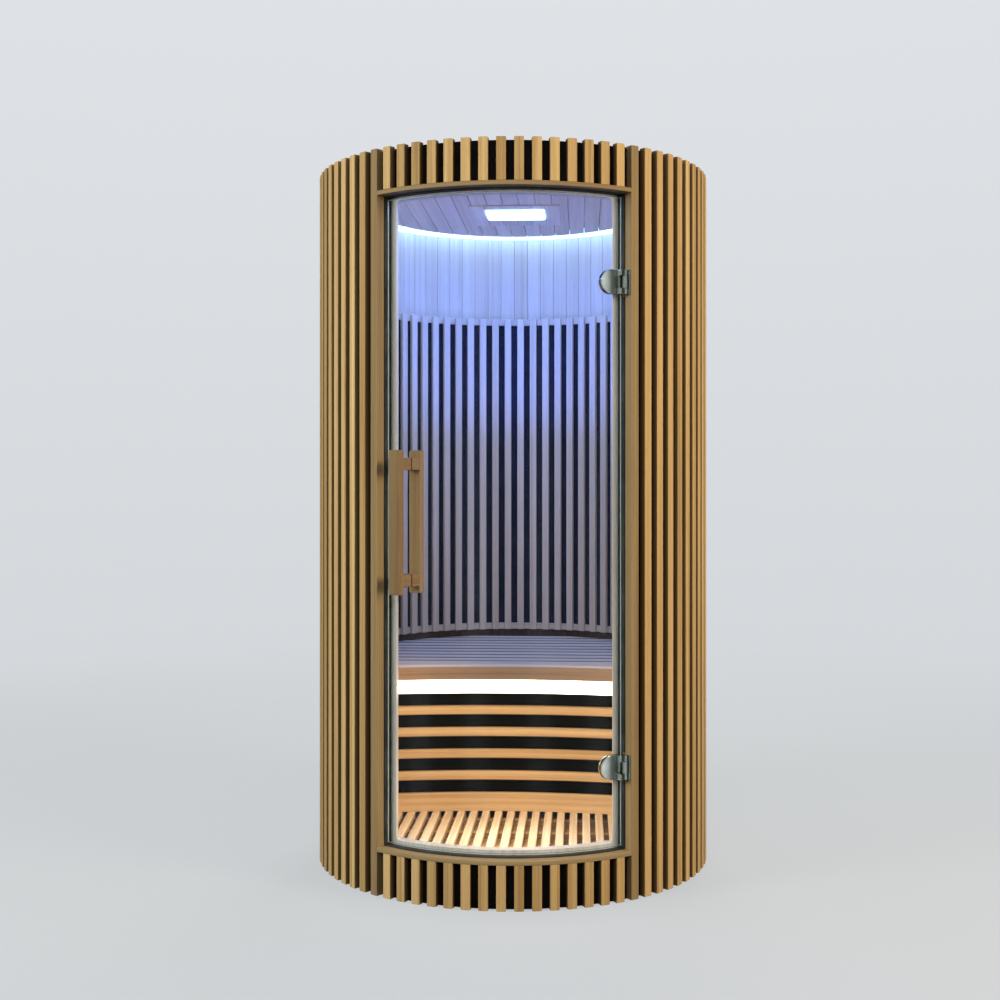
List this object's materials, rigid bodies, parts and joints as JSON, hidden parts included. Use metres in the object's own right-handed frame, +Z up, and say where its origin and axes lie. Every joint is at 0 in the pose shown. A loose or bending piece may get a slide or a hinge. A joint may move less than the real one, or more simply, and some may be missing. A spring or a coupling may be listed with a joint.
{
  "type": "round indoor infrared sauna cabin",
  "caption": "Upright cylindrical infrared sauna cabin clad in vertical wood slats, with a curved glass door, a slatted bench, heater panels and a lit ceiling.",
  "frame": {"origin": "centre of the base, on the floor", "axes": "+Z up, -Y out through the door, +X towards the door's hinges"},
  "size_m": [1.1502, 1.15, 2],
  "materials": {
    "outer_slat": "oiled honey-tan softwood slats",
    "frame_wood": "oiled honey-tan softwood frame",
    "inner_wood": "pale planed softwood boards",
    "leg_wood": "planed softwood, warm lit",
    "structure_wood": "sawn softwood",
    "wall_black": "matt near-black backing board",
    "heater_black": "matt black heating panel",
    "glass": "clear tempered glass with greenish edges",
    "chrome": "polished chrome",
    "cool_light": "translucent diffuser, lit blue-white",
    "warm_light": "translucent diffuser, lit warm white"
  },
  "bodies": {
    "cabin": {"base_joists": "structure_wood", "base_panel": "structure_wood", "floor_battens": "structure_wood", "floor_slats": "leg_wood", "wall_front_right": "wall_black", "wall_back_right": "wall_black", "wall_back_left": "wall_black", "wall_front_left": "wall_black", "lintel_panel": "wall_black", "sill_panel": "wall_black", "cladding_right": "outer_slat", "cladding_left": "outer_slat", "lintel_slats": "outer_slat", "sill_slats": "outer_slat", "door_post_right": "frame_wood", "door_post_left": "frame_wood", "door_header": "frame_wood", "door_sill": "frame_wood", "door_stop_frame": "inner_wood", "lining_right": "inner_wood", "lining_back": "inner_wood", "lining_left": "inner_wood", "lintel_lining": "inner_wood", "back_heater": "heater_black", "back_rails": "inner_wood", "back_slats": "inner_wood", "bench_frame": "structure_wood", "seat_boards": "inner_wood", "seat_front_board": "leg_wood", "bench_light": "warm_light", "leg_heater": "heater_black", "leg_slats": "leg_wood", "kick_board": "leg_wood", "roof_panel": "structure_wood", "roof_joists": "structure_wood", "ceiling_boards": "inner_wood", "lamp_panel": "inner_wood", "ceiling_lamp": "cool_light", "ring_light": "cool_light", "hinge_leaves": "chrome"},
    "door": {"door_glass": "glass", "hinge_clamps": "chrome", "hinge_back_plates": "chrome", "handle_outer": "frame_wood", "handle_inner": "frame_wood"}
  },
  "joints": [
    {"name": "door_swing", "type": "hinge", "parent": "cabin", "child": "door", "pos_m": [0.32228, -0.45852, 1], "axis": [0, 0, 1], "range_deg": [0, 100]}
  ]
}
